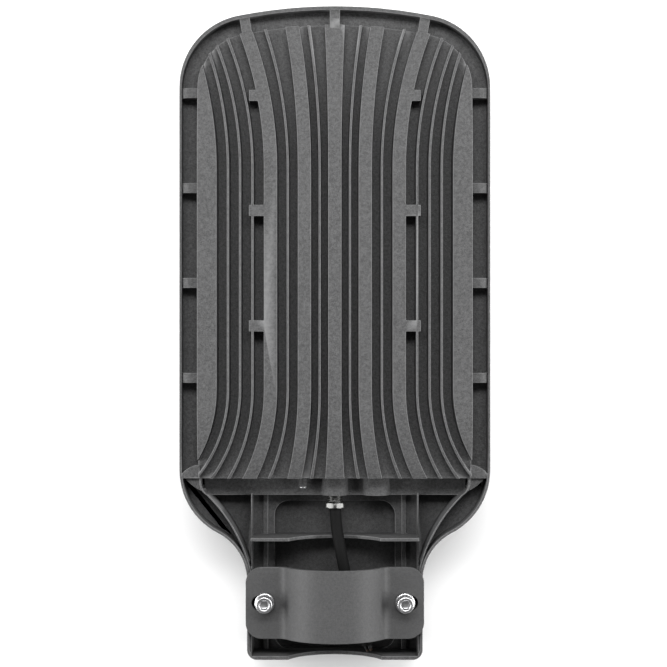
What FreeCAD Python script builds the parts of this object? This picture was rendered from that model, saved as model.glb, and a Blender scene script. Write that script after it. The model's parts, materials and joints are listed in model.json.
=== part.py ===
import FreeCAD, Part
import math
import os

import Sketcher
from FreeCAD import Placement, Rotation, Vector

# LED street light head. Millimetres, +Z up to the sky side, +Y to the head end, -Y to the pole end.
# The flat underside of the cover frame lies on z = 0 and the centre line on x = 0.

doc = FreeCAD.newDocument("lamp_head")
os.makedirs("parts", exist_ok=True)

SIZES = {
    # plan outline of head and neck
    "head_half": 93.3, "crown_top": 196.2, "crown_radius": 300, "corner_radius": 43.5,
    "shoulder_y": -82.2, "shoulder_radius": 42.6, "waist_radius": 32.4, "neck_half": 52.7,
    "end_y": -196.2, "end_radius": 6, "rim_side": 1.5, "rim_end": 2.3,
    # levels
    "frame_top": 8, "rim_top": 44, "channel_floor": 35, "bay_ceiling": 36, "groove_floor": 42,
    "fin_top": 54, "fin_end": 45.5, "pocket_floor": 29, "inner_wall_top": 42, "inner_wall_thick": 1.1,
    "shelf_floor": 17, "tray_floor": 12, "floor_thick": 3,
    # inside of the neck
    "web_x": 50.6, "web_top": 29, "neck_start": -146, "ridge_x": 42.4,
    "recess_half": 37, "recess_front": -103,
    # heat sink
    "sink_inset": 11.3, "sink_rear": -87.4, "fan_head": 98, "fan_neck": -34,
    "draft": 2, "bar_half": 3.35, "bar_pitch": 68.7, "bar_first": 4.2, "board_screw_x": 45.6,
    # ribs between rim and heat sink
    "rib_width": 6, "rib_pitch": 56.9, "rib_first": -26.9, "corner_rib_y": -84.6,
    "corner_rib_rise": 5.6, "corner_rib_low": -87.3, "gusset_low": -95.4,
    "top_rib_angle": 10.5,
    # inside of the head
    "bay_inset": 13, "bay_rear": -84, "skirt_outer": 2.5, "skirt_inner": 8, "skirt_ceiling": 31,
    "seal_outer": 9.5, "seal_width": 2, "seal_height": 2, "divider_y": -12, "divider_thick": 3,
    # cable entry
    "ledge_top": 27, "ledge_rear": -98.7, "entry_z": 26, "boss_radius": 8,
    "spare_x": 25.2, "gland_radius": 5, "nut_start": -103.1, "nut_end": -107, "nut_radius": 6.6,
    "earth_x": -19.4, "earth_z": 31.5, "earth_radius": 2.2, "earth_end": -93.2,
    # pole seat and clamp
    "saddle_radius": 30, "saddle_axis": 55, "saddle_y": -124.2, "saddle_thick": 2,
    "clamp_y": -161.6, "clamp_width": 42.9, "strap_half": 53.4, "strap_thick": 3,
    "arch_radius": 34, "arch_axis": 32, "bend_radius": 6, "bolt_x": 42, "bolt_radius": 3,
    "column_radius": 5.8, "slot_width": 8.5, "slot_length": 13.5, "slot_x": 43,
    "washer_radius": 6, "washer_thick": 1.6, "spring_radius": 5.4, "spring_thick": 1.6,
    # cover frame and glass
    "frame_inset": 0.5, "frame_plate": 3, "lip_height": 2, "glass_half": 70, "glass_front": 170,
    "glass_rear": -4, "glass_corner": 20, "glass_lip": 6, "glass_gap": 0.3, "glass_bottom": 3,
    "glass_thick": 4, "screw_inset": 6.3, "screw_radius": 2, "screw_gap": 0.2,
    # light engine
    "board_edge": 6.4, "board_front": 150, "board_rear": -8, "pad_thick": 0.5, "board_thick": 1.6,
    "lens_rear": -2, "lens_plate": 3, "lens_drop": 3.2, "lens_radius": 7.5,
    # driver
    "driver_x": -7, "driver_y": -37, "driver_half": 53, "driver_deep": 40, "tab_edge": 6, "tab_thick": 2.5,
    # mains cable
    "cable_radius": 3.5, "core_radius": 1,
}

sheet = doc.addObject("Spreadsheet::Sheet", "sizes")
for row, (alias, number) in enumerate(SIZES.items(), start=1):
    sheet.set(f"A{row}", alias)
    sheet.set(f"B{row}", str(number))
    sheet.setAlias(f"B{row}", alias)
doc.recompute()


def size(alias):
    """Value of a cell of the size sheet."""
    return float(sheet.get(alias))


def named(text):
    """Expression in which every cell name is written with its sheet."""
    words = sorted(SIZES, key=len, reverse=True)
    marked = text
    for place, word in enumerate(words):
        marked = marked.replace(word, f"@{place}@")
    for place, word in enumerate(words):
        marked = marked.replace(f"@{place}@", f"sizes.{word}")
    return marked


def bind(item, **settings):
    """Tie properties of an item to expressions in the sheet's cells."""
    for name, text in settings.items():
        item.setExpression(name.replace("__", "."), named(str(text)))
    return item


def box(name, x, y, z):
    """Block between pairs of expressions."""
    item = doc.addObject("Part::Box", name)
    bind(item, Length=f"({x[1]}) - ({x[0]})", Width=f"({y[1]}) - ({y[0]})", Height=f"({z[1]}) - ({z[0]})")
    bind(item, Placement__Base__x=x[0], Placement__Base__y=y[0], Placement__Base__z=z[0])
    return item


def upright(name, radius, x, y, z):
    """Cylinder along Z."""
    item = doc.addObject("Part::Cylinder", name)
    bind(item, Radius=radius, Height=f"({z[1]}) - ({z[0]})")
    bind(item, Placement__Base__x=x, Placement__Base__y=y, Placement__Base__z=z[0])
    return item


def lengthwise(name, radius, x, y, z):
    """Cylinder along Y, from the larger y to the smaller."""
    item = doc.addObject("Part::Cylinder", name)
    item.Placement.Rotation = Rotation(Vector(1, 0, 0), 90)
    bind(item, Radius=radius, Height=f"({y[1]}) - ({y[0]})")
    bind(item, Placement__Base__x=x, Placement__Base__y=y[1], Placement__Base__z=z)
    return item


def fuse(name, items):
    item = doc.addObject("Part::MultiFuse", name)
    item.Shapes = items
    return item


def cut(name, base, tool):
    item = doc.addObject("Part::Cut", name)
    item.Base = base
    item.Tool = tool
    return item


def common(name, items):
    item = doc.addObject("Part::MultiCommon", name)
    item.Shapes = items
    return item


def arc(centre, radius, start, end):
    """Arc by centre, radius and angles in degrees, counter-clockwise."""
    circle = Part.Circle(Vector(*centre, 0), Vector(0, 0, 1), radius)
    return Part.ArcOfCircle(circle, math.radians(start), math.radians(end))


def line(start, end):
    return Part.LineSegment(Vector(*start, 0), Vector(*end, 0))


def through(start, middle, end):
    return Part.Arc(Vector(*start, 0), Vector(*middle, 0), Vector(*end, 0))


def loop(name, curves):
    """Sketch of a closed loop, its corners made coincident."""
    sketch = doc.addObject("Sketcher::SketchObject", name)
    ids = [sketch.addGeometry(curve, False) for curve in curves]
    ends = [(place, which) for place in ids for which in (1, 2)]
    joined = set()
    for number, first in enumerate(ends):
        for second in ends[number + 1:]:
            if first[0] == second[0] or first in joined or second in joined:
                continue
            if sketch.getPoint(*first).distanceToPoint(sketch.getPoint(*second)) < 0.001:
                sketch.addConstraint(Sketcher.Constraint("Coincident", *first, *second))
                joined.update((first, second))
    return sketch


def prism(name, sketch, z):
    """Sketch in plan pulled up between two levels."""
    item = doc.addObject("Part::Extrusion", name)
    item.Base = sketch
    item.DirMode = "Custom"
    item.Dir = Vector(0, 0, 1)
    item.Solid = True
    bind(item, LengthFwd=f"({z[1]}) - ({z[0]})", Placement__Base__z=z[0])
    return item


def eased(name, base, radius, wanted):
    """Fillet on the edges that a test picks."""
    doc.recompute()
    item = doc.addObject("Part::Fillet", name)
    item.Base = base
    picked = [number for number, edge in enumerate(base.Shape.Edges, start=1) if wanted(edge)]
    item.Edges = [(number, radius, radius) for number in picked]
    return item


def crown(inset, end_inset, corner_inset):
    """Centres and radii of the head end for a given inset of sides and end."""
    middle = (0, size("crown_top") - size("crown_radius"))
    radius = size("crown_radius") - end_inset
    corner = size("corner_radius") - corner_inset
    across = size("head_half") - inset - corner
    along = middle[1] + math.sqrt((radius - corner) ** 2 - across ** 2)
    return middle, radius, corner, (across, along)


def head_curves(inset, end_inset):
    """Head end and straight sides of the outline, down to the shoulders."""
    middle, radius, corner, centre = crown(inset, end_inset, inset)
    half = size("head_half") - inset
    turn = math.degrees(math.atan2(centre[1] - middle[1], centre[0]))
    side_top = centre[1]
    side_low = size("shoulder_y")
    return [
        arc(middle, radius, turn, 180 - turn),
        arc(centre, corner, 0, turn),
        arc((-centre[0], centre[1]), corner, 180 - turn, 180),
        line((half, side_low), (half, side_top)),
        line((-half, side_low), (-half, side_top)),
    ]


def head_region(name, inset, rear):
    """Head outline moved in by an inset and closed by a straight rear edge."""
    curves = head_curves(inset, inset)
    radius = size("shoulder_radius") - inset
    across = size("head_half") - size("shoulder_radius")
    drop = size("shoulder_y") - rear
    turn = math.degrees(math.asin(drop / radius))
    rear_x = across + math.sqrt(radius ** 2 - drop ** 2)
    curves.append(arc((across, size("shoulder_y")), radius, -turn, 0))
    curves.append(arc((-across, size("shoulder_y")), radius, 180, 180 + turn))
    curves.append(line((-rear_x, rear), (rear_x, rear)))
    return loop(name, curves)


def whole_outline(name, inset, end_inset):
    """Outline of head and neck moved in by an inset."""
    curves = head_curves(inset, end_inset)
    convex = size("shoulder_radius") - inset
    concave = size("waist_radius") + inset
    travel = size("head_half") - size("neck_half")
    turn = math.degrees(math.acos(1 - travel / (convex + concave)))
    across = size("head_half") - size("shoulder_radius")
    waist = size("neck_half") + size("waist_radius")
    waist_y = size("shoulder_y") - (convex + concave) * math.sin(math.radians(turn))
    half = size("neck_half") - inset
    round_end = size("end_radius") - inset
    end = size("end_y") + end_inset
    for side in (1, -1):
        angles = (-turn, 0) if side > 0 else (180, 180 + turn)
        first = arc((side * across, size("shoulder_y")), convex, *angles)
        second = arc((side * waist, waist_y), concave, *((180 - turn, 180) if side > 0 else (0, turn)))
        low = line((side * half, waist_y), (side * half, end + round_end))
        quarter = (-90, 0) if side > 0 else (180, 270)
        corner = arc((side * (half - round_end), end + round_end), round_end, *quarter)
        curves += [first, second, low, corner]
    curves.append(line((-half + round_end, end), (half - round_end, end)))
    return loop(name, curves)


def rounded_plan(name, half, rear, front, radius):
    """Rectangle with four equal round corners."""
    left, right = -half + radius, half - radius
    low, high = rear + radius, front - radius
    return loop(name, [
        line((left, rear), (right, rear)), arc((right, low), radius, -90, 0),
        line((half, low), (half, high)), arc((right, high), radius, 0, 90),
        line((right, front), (left, front)), arc((left, high), radius, 90, 180),
        line((-half, high), (-half, low)), arc((left, low), radius, 180, 270),
    ])


# Heat sink

# Fin spacing from the centre: place, half width, sideways lean at the head end and at the neck end
# and the y at which each lean is reached.
FINS = [
    (0, 3.9, 1.8, 1.5, 185, -87),
    (9.0, 0.6, 6.7, 5.0, 185, -87),
    (18.1, 3.9, 7.5, 6.0, 184, -87),
    (28.0, 0.6, 13.7, 11.2, 182, -87),
    (38.3, 3.9, 15.0, 12.7, 180, -87),
    (49.0, 0.6, 15.1, 14.4, 176, -87),
    (56.4, 0.6, 14.2, 16.7, 172, -86),
    (63.6, 0.6, 11.3, 16.3, 167, -83),
]
BORDER = (70.4, 8.9, 10.0, 160, -73)


def fan_radius(lean, run):
    return (run ** 2 + lean ** 2) / (2 * lean)


def fin_side(x, lean_head, lean_neck, head_y, neck_y, side):
    """One side of a groove: fanned arc, straight, fanned arc, leaning away from the centre."""
    top = size("fan_head")
    low = size("fan_neck")
    out_head = fan_radius(lean_head, head_y - top)
    out_neck = fan_radius(lean_neck, low - neck_y)
    past = 8
    turn_head = math.degrees(math.asin((head_y - top + past) / out_head))
    turn_neck = math.degrees(math.asin((low - neck_y + past) / out_neck))
    if side > 0:
        upper = arc((x + out_head, top), out_head, 180 - turn_head, 180)
        lower = arc((x + out_neck, low), out_neck, 180, 180 + turn_neck)
        return [upper, line((x, low), (x, top)), lower], upper.EndPoint, lower.StartPoint
    upper = arc((-x - out_head, top), out_head, 0, turn_head)
    lower = arc((-x - out_neck, low), out_neck, -turn_neck, 0)
    return [upper, line((-x, low), (-x, top)), lower], upper.EndPoint, lower.StartPoint


def outermost(curves):
    """Free ends of a groove side at the head and at the neck."""
    points = [point for curve in curves for point in (curve.StartPoint, curve.EndPoint)]
    return max(points, key=lambda p: p.y), min(points, key=lambda p: p.y)


def groove(name, inner, outer, side):
    """Tapered cutter between two fins."""
    near = fin_side(inner[0] + inner[1], *inner[2:], side)[0]
    far = fin_side(outer[0] - outer[1], *outer[2:], side)[0]
    near_top, near_low = outermost(near)
    far_top, far_low = outermost(far)
    caps = [Part.LineSegment(near_top, far_top), Part.LineSegment(near_low, far_low)]
    sketch = loop(f"{name}_plan", near + far + caps)
    item = doc.addObject("Part::Extrusion", name)
    item.Base = sketch
    item.DirMode = "Custom"
    item.Dir = Vector(0, 0, -1)
    item.Solid = True
    bind(item, LengthFwd="fin_top + 1 - groove_floor", TaperAngle="-draft",
         Placement__Base__z="fin_top + 1")
    return item


def grooves():
    rows = FINS + [(BORDER[0], 0, *BORDER[1:])]
    return [
        groove(f"groove_{'right' if side > 0 else 'left'}_{number}", inner, outer, side)
        for side in (1, -1)
        for number, (inner, outer) in enumerate(zip(rows, rows[1:]), start=1)
    ]


def falloff(name, reach, flat, angle, above):
    """Block whose top falls in an arc to the fin ends at a given distance along a direction."""
    drop = size("fin_top") + above - size("fin_end")
    run = reach - flat
    radius = (run ** 2 + drop ** 2) / (2 * drop)
    turn = math.degrees(math.asin(run / radius))
    top, foot, back = size("fin_top") + above, size("pocket_floor") - 2, -300
    sketch = loop(f"{name}_side", [
        arc((flat, top - radius), radius, 90 - turn, 90),
        line((reach, top - drop), (reach, foot)),
        line((reach, foot), (back, foot)),
        line((back, foot), (back, top)),
        line((back, top), (flat, top)),
    ])
    item = doc.addObject("Part::Extrusion", name)
    item.Base = sketch
    item.DirMode = "Custom"
    item.Dir = Vector(0, 0, 1)
    item.Solid = True
    item.LengthFwd = 600
    upright_turn = Rotation(Vector(1, 0, 0), 90)
    facing = Rotation(Vector(0, 0, 1), angle)
    item.Placement = Placement(facing.multVec(Vector(0, 300, 0)), facing.multiply(upright_turn))
    return item


def heat_sink():
    """Domed block with fanned grooves that run out through both ends."""
    head_reach = size("crown_top") - size("sink_inset") + 0.2
    corner_reach = 172.4
    plan = head_region("sink_plan", size("sink_inset"), size("sink_rear"))
    body = common("sink_body", [
        prism("sink_block", plan, ("pocket_floor", "fin_top")),
        falloff("head_falloff", head_reach, size("fan_head") - 4, 90, 0.3),
        falloff("neck_falloff", 0.2 - size("sink_rear"), 4 - size("fan_neck"), -90, 0.3),
        falloff("corner_falloff_right", corner_reach, corner_reach - 48, 45, 1),
        falloff("corner_falloff_left", corner_reach, corner_reach - 48, 135, 1),
    ])
    cutters = fuse("all_grooves", grooves())
    bars = []
    for side, word in ((1, "right"), (-1, "left")):
        for number in range(3):
            middle = f"bar_first + {number} * bar_pitch"
            across = (f"{side} * board_screw_x - 5.5", f"{side} * board_screw_x + 5.5")
            along = (f"{middle} - bar_half", f"{middle} + bar_half")
            bars.append(box(f"bar_{word}_{number + 1}", across, along, ("groove_floor - 1", "fin_top + 2")))
    return cut("heat_sink", body, cut("groove_tools", cutters, fuse("screw_bars", bars)))


# Housing

def tray_region(name, spread):
    """Plan of the neck tray: straight on from the heat sink's sides, a small bend, then a long curve."""
    wide = size("head_half") - size("sink_inset") - 1.6 + spread
    turn, bend, middle = wide - 1.1, wide - 4.2, wide - 15.8
    narrow = size("neck_half") - 2.7 + spread
    rear, low = size("sink_rear") + 0.5, size("end_y") + size("rim_end")
    curves = [line((-wide, rear), (wide, rear)), line((narrow, low), (-narrow, low))]
    for side in (1, -1):
        curves.append(line((side * wide, rear), (side * wide, -90.5)))
        curves.append(through((side * wide, -90.5), (side * turn, -94.2), (side * bend, -97.5)))
        curves.append(through((side * bend, -97.5), (side * middle, -111), (side * narrow, -146)))
        curves.append(line((side * narrow, -146), (side * narrow, low)))
    return loop(name, curves)


def rib(name, base):
    """Bridging rib from the heat sink to the rim, rounded down at its outer end."""
    item = doc.addObject("Part::Extrusion", name)
    item.Base = base
    item.DirMode = "Custom"
    item.Dir = Vector(0, 0, 1)
    item.Solid = True
    bind(item, LengthFwd="rib_width")
    return item


def rib_side():
    """Side view of a rib, measured inwards from the outer face of the rim."""
    floor, low = size("channel_floor") - 2, size("rim_top") - 4
    outer, inner = -1.2, -size("sink_inset") - 3
    return loop("rib_side", [
        line((inner, floor), (outer, floor)),
        line((outer, floor), (outer, low)),
        arc((outer - 6, low), 6, 0, 90),
        line((outer - 6, low + 6), (inner, low + 6)),
        line((inner, low + 6), (inner, floor)),
    ])


def place_rib(item, x, y, angle):
    """Stand a rib's outer face at a point of the outline, facing along an angle."""
    facing = Rotation(Vector(0, 0, 1), angle)
    stand = Rotation(Vector(1, 0, 0), 90)
    shift = facing.multVec(Vector(0, size("rib_width") / 2, 0))
    item.Placement = Placement(Vector(x, y, 0) + shift, facing.multiply(stand))
    return item


def rib_places():
    """Outline point and facing of every rib, in degrees."""
    side_rows = [size("rib_first") + number * size("rib_pitch") for number in range(4)]
    places = []
    for y in side_rows:
        places += [(size("head_half"), y, 0), (-size("head_half"), y, 180)]
    for angle in (90, 90 - size("top_rib_angle"), 90 + size("top_rib_angle")):
        radius = size("crown_radius")
        x = radius * math.cos(math.radians(angle))
        y = size("crown_top") - radius + radius * math.sin(math.radians(angle))
        places.append((x, y, angle))
    return places


def screw_places():
    """Axes of the cover screws: every second side rib, the outer top ribs and the corner ribs."""
    places = [rib_places()[index] for index in (2, 3, 6, 7, 9, 10)]
    for side, angle in ((1, 0), (-1, 180)):
        places.append((side * size("head_half"), size("corner_rib_y"), angle))
    inset = size("screw_inset")
    return [(x - inset * math.cos(math.radians(a)), y - inset * math.sin(math.radians(a)))
            for x, y, a in places]


def board_screw_places():
    rows = [size("bar_first") + number * size("bar_pitch") for number in range(3)]
    return [(side * size("board_screw_x"), y) for side in (1, -1) for y in rows]


def ring(name, outer_inset, inner_inset, outer_rear, inner_rear, z):
    outer = prism(f"{name}_outer", head_region(f"{name}_outer_plan", outer_inset, outer_rear), z)
    inner = prism(f"{name}_inner", head_region(f"{name}_inner_plan", inner_inset, inner_rear), z)
    return cut(name, outer, inner)


def shell():
    """Outline block with the perimeter channel, the shoulder pockets and the neck tray sunk in it."""
    outside = prism("outer_block", whole_outline("outer_plan", 0, 0), ("frame_top", "rim_top"))
    inner_plan = whole_outline("inner_plan", size("rim_side"), size("rim_end"))
    channel = prism("channel_cutter", inner_plan, ("channel_floor", "fin_top"))
    pocket_z = ("pocket_floor", "fin_top")
    behind = box("behind_sink", ("-head_half", "head_half"), ("end_y", "sink_rear"), pocket_z)
    pocket = common("pocket_cutter", [prism("pocket_block", inner_plan, pocket_z), behind])
    wall_plan = tray_region("wall_plan", size("inner_wall_thick"))
    walls = prism("tray_walls", wall_plan, ("frame_top", "inner_wall_top"))
    sunk = cut("sunk_cutter", fuse("channel_and_pocket", [channel, pocket]), walls)
    tray = prism("tray_cutter", tray_region("tray_plan", 0), ("shelf_floor", "fin_top"))
    recess_rear = size("end_y") + size("rim_end")
    recess_plan = rounded_plan("recess_plan", size("recess_half"), recess_rear, size("recess_front"), 9)
    recess = prism("recess_cutter", recess_plan, ("tray_floor", "fin_top"))
    return cut("shell", outside, fuse("top_cutters", [sunk, tray, recess]))


def corner_rib(name, side):
    """Crescent rib from the rim to the heat sink's corner, with a lower web on to the tray wall."""
    inner, outer = size("head_half") - size("sink_inset") - 1, size("head_half") - size("rim_side") + 0.2
    low, rim = size("corner_rib_low"), size("corner_rib_y")
    crest = rim + size("corner_rib_rise")
    middle = (side * (outer - 4.1), rim + 3.5)
    rib_plan = loop(f"{name}_plan", [
        line((side * inner, low), (side * outer, low)),
        line((side * outer, low), (side * outer, rim)),
        through((side * outer, rim), middle, (side * inner, crest)),
        line((side * inner, crest), (side * inner, low)),
    ])
    web_outer, web_end = outer - 1.8, (side * (inner - 1.5), size("gusset_low"))
    web_plan = loop(f"{name}_web_plan", [
        line((side * inner, low + 1), (side * web_outer, low + 1)),
        line((side * web_outer, low + 1), (side * web_outer, low)),
        through((side * web_outer, low), (side * (web_outer - 4), low - 4.3), web_end),
        line(web_end, (side * inner, low + 1)),
    ])
    return [prism(name, rib_plan, ("pocket_floor - 1", "rim_top - 0.6")),
            prism(f"{name}_web", web_plan, ("pocket_floor - 1", "inner_wall_top - 1.5"))]


def neck_details():
    """Ledge, entry bosses, saddle rib, bolt columns and floor ridges."""
    across = ("-head_half + sink_inset + 2.4", "head_half - sink_inset - 2.4")
    along = ("ledge_rear", "sink_rear + 1")
    items = [box("ledge", across, along, ("frame_top", "ledge_top"))]
    for word, x in (("gland", "0"), ("spare", "spare_x")):
        items.append(lengthwise(f"{word}_boss", "boss_radius", x, along, "entry_z"))
    pin_run = ("earth_end", "sink_rear + 1")
    items.append(lengthwise("earth_pin", "earth_radius + 0.2", "earth_x", pin_run, "earth_z"))
    along = ("saddle_y - saddle_thick / 2", "saddle_y + saddle_thick / 2")
    items.append(box("saddle_rib", ("-web_x", "web_x"), along, ("tray_floor - 1", "rim_top - 1")))
    for side, word in ((1, "right"), (-1, "left")):
        items += corner_rib(f"corner_rib_{word}", side)
        column_z = ("tray_floor - 1", "rim_top")
        items.append(upright(f"bolt_column_{word}", "column_radius", f"{side} * bolt_x", "clamp_y", column_z))
        across = (f"{side} * ridge_x - 1.4", f"{side} * ridge_x + 1.4")
        along = ("end_y + 1", "ledge_rear + 1")
        items.append(box(f"ridge_{word}", across, along, ("shelf_floor - 1", "shelf_floor + 1.6")))
        across = (f"{side} * web_x - 0.4", f"{side} * web_x + 0.4")
        along = ("neck_start", "ledge_rear + 1")
        items.append(box(f"web_{word}", across, along, ("shelf_floor - 1", "web_top")))
    return items


def neck_hollows():
    """Hollows under the shoulder pockets and the tray's shelves, open below."""
    wall = size("skirt_outer")
    under_z = ("frame_top", "pocket_floor - floor_thick")
    outer = prism("under_block", whole_outline("under_plan", wall, wall), under_z)
    behind = box("under_behind", ("-head_half", "head_half"), ("end_y", "ledge_rear - 2.5"),
                 ("frame_top", "pocket_floor"))
    middle = prism("under_tray", tray_region("under_tray_plan", 3.5), ("frame_top", "pocket_floor"))
    tools = [cut("under_shoulders", common("under_rear", [outer, behind]), middle)]
    for side, word in ((1, "right"), (-1, "left")):
        across = (f"{side} * (ridge_x + 1.2) - 4.4", f"{side} * (ridge_x + 1.2) + 4.4")
        runs = {"front": ("-121", "-104"), "middle": ("-151", "-128"), "rear": ("-192", "-172")}
        for place, along in runs.items():
            block = box(f"under_shelf_{place}_{word}", across, along, ("frame_top", "shelf_floor - floor_thick"))
            tools.append(block)
    return tools


def inner_cutters():
    """Bay under the heat sink, skirt hollows, seal groove, screw holes, entries and the pole seat."""
    bay_plan = head_region("bay_plan", size("bay_inset"), size("bay_rear"))
    bay = prism("bay_block", bay_plan, ("frame_top", "bay_ceiling"))
    notch_y = ("divider_y - 1", "divider_y + divider_thick + 1")
    notch = box("wire_notch", ("-10", "10"), notch_y, ("bay_ceiling - 8", "bay_ceiling"))
    divider = box("divider", ("-head_half", "head_half"), ("divider_y", "divider_y + divider_thick"),
                  ("frame_top", "bay_ceiling"))
    bay = cut("bay_cutter", bay, cut("divider_wall", divider, notch))
    rear = size("ledge_rear")
    skirt_z = ("frame_top", "skirt_ceiling")
    hollow = ring("skirt_hollow", size("skirt_outer"), size("skirt_inner"), rear + 5.7, rear + 10.7, skirt_z)
    post_z = ("frame_top", "skirt_ceiling + 1")
    posts = [upright(f"screw_post_{n}", "screw_radius + 3.5", str(x), str(y), post_z)
             for n, (x, y) in enumerate(screw_places(), start=1)]
    rear_block = box("rear_block", ("-head_half + 13.3", "head_half - 13.3"),
                     ("ledge_rear + 1.7", "ledge_rear + 12.7"), post_z)
    hollow = cut("skirt_cutter", hollow, fuse("skirt_posts", posts + [rear_block]))
    inner = size("seal_outer") + size("seal_width")
    seal_z = ("frame_top", "frame_top + seal_height")
    seal_groove = ring("seal_groove", size("seal_outer"), inner, rear + 6.7, rear + 8.7, seal_z)
    holes = []
    for n, (x, y) in enumerate(screw_places(), start=1):
        depth = ("frame_top", "frame_top + 14")
        holes.append(upright(f"cover_hole_{n}", "screw_radius", str(x), str(y), depth))
    for n, (x, y) in enumerate(board_screw_places(), start=1):
        depth = ("bay_ceiling", "bay_ceiling + 10")
        holes.append(upright(f"board_hole_{n}", "screw_radius", str(x), str(y), depth))
    for word, x in DRIVER_SCREWS:
        depth = ("bay_ceiling", "bay_ceiling + 4.5")
        holes.append(upright(f"driver_hole_{word}", "screw_radius", x, "driver_y", depth))
    for side, word in ((1, "right"), (-1, "left")):
        depth = ("rim_top - 24", "rim_top")
        holes.append(upright(f"bolt_hole_{word}", "bolt_radius", f"{side} * bolt_x", "clamp_y", depth))
    holes.append(lengthwise("gland_hole", "gland_radius", "0", ("ledge_rear", "bay_rear"), "entry_z"))
    holes.append(lengthwise("spare_hole", "gland_radius", "spare_x", ("ledge_rear", "bay_rear"), "entry_z"))
    holes.append(lengthwise("earth_hole", "1.5", "earth_x", ("earth_end", "sink_rear + 3"), "earth_z"))
    holes.append(lengthwise("pole_seat", "saddle_radius", "0", ("end_y - 1", "-100"), "saddle_axis"))
    return [bay, hollow, seal_groove] + holes + neck_hollows()


def housing():
    ribs = []
    for n, (x, y, angle) in enumerate(rib_places(), start=1):
        ribs.append(place_rib(rib(f"rib_{n}", RIB_SIDE), x, y, angle))
    solid = fuse("housing_solid", [shell(), heat_sink()] + ribs + neck_details())
    return cut("housing", solid, fuse("housing_cutters", inner_cutters()))


# Cover frame, glass and seals

def cover_frame():
    """Frame that closes the head from below, with a seat for the glass and a plate under the driver bay."""
    inset = size("frame_inset")
    frame_plan = head_region("frame_plan", inset, size("ledge_rear") + 0.7)
    block = eased("frame_eased", prism("frame_block", frame_plan, ("0", "frame_top")),
                  2, lambda edge: edge.BoundBox.ZMax < 0.01)
    half, rear, front = size("glass_half"), size("glass_rear"), size("glass_front")
    corner, gap, lip = size("glass_corner"), size("glass_gap"), size("glass_lip")
    seat_plan = rounded_plan("seat_plan", half + gap, rear - gap, front + gap, corner + gap)
    window_plan = rounded_plan("window_plan", half - lip, rear + lip, front - lip, corner - lip)
    wall = 3
    apart = gap + wall
    wall_plan = rounded_plan("wall_ring_plan", half + apart, rear - apart, front + apart, corner + wall)
    hollow = prism("frame_hollow", head_region("frame_hollow_plan", size("bay_inset"), size("bay_rear")),
                   ("frame_plate", "frame_top"))
    hollow = cut("frame_hollow_cutter", hollow, prism("glass_wall", wall_plan, ("0", "frame_top")))
    tools = [hollow, prism("seat", seat_plan, ("lip_height", "frame_top")),
             prism("window", window_plan, ("-1", "frame_top"))]
    for number, (x, y) in enumerate(screw_places(), start=1):
        tools.append(upright(f"head_sink_{number}", "4.1", str(x), str(y), ("-1", "3.2")))
        depth = ("0", "frame_top")
        tools.append(upright(f"frame_hole_{number}", "screw_radius + screw_gap", str(x), str(y), depth))
    return cut("cover_frame", block, fuse("frame_cutters", tools))


def glass_parts():
    half, rear, front = size("glass_half"), size("glass_rear"), size("glass_front")
    corner, lip = size("glass_corner"), size("glass_lip")
    outer = rounded_plan("glass_plan", half, rear, front, corner)
    edge = lip - 1
    inner = rounded_plan("gasket_window_plan", half - edge, rear + edge, front - edge, corner - edge)
    glass = prism("cover_glass", outer, ("glass_bottom", "glass_bottom + glass_thick"))
    strip = ("lip_height", "glass_bottom")
    gasket = cut("glass_gasket", prism("gasket_block", outer, strip), prism("gasket_window", inner, strip))
    seal_in = size("seal_outer") + size("seal_width")
    back = size("ledge_rear")
    seal_z = ("frame_top", "frame_top + seal_height")
    seal = ring("housing_gasket", size("seal_outer"), seal_in, back + 6.7, back + 8.7, seal_z)
    return [glass, gasket, seal]


def screw(name, x, y, seat, head, shank):
    """Pan head screw that points up: seat level, head radius and height, and shank length."""
    head_radius, head_height = head
    first = seat - head_height
    body = upright(f"{name}_head", str(head_radius), str(x), str(y), (str(first), str(seat)))
    thread = upright(f"{name}_shank", "screw_radius", str(x), str(y), (str(seat), str(seat + shank)))
    socket = doc.addObject("Part::Prism", f"{name}_socket")
    socket.Polygon = 6
    socket.Circumradius = head_radius * 0.42
    socket.Height = head_height * 0.6
    socket.Placement.Base = Vector(x, y, first)
    return cut(name, fuse(f"{name}_blank", [body, thread]), socket)


# Light engine and driver

DRIVER_SCREWS = (
    ("left", "driver_x - driver_half - tab_edge"),
    ("right", "driver_x + driver_half + tab_edge"),
)


def lens_places():
    return [(x, y) for y in range(16, 150, 20) if y < 137 for x in (-33, -11, 11, 33)]


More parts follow.
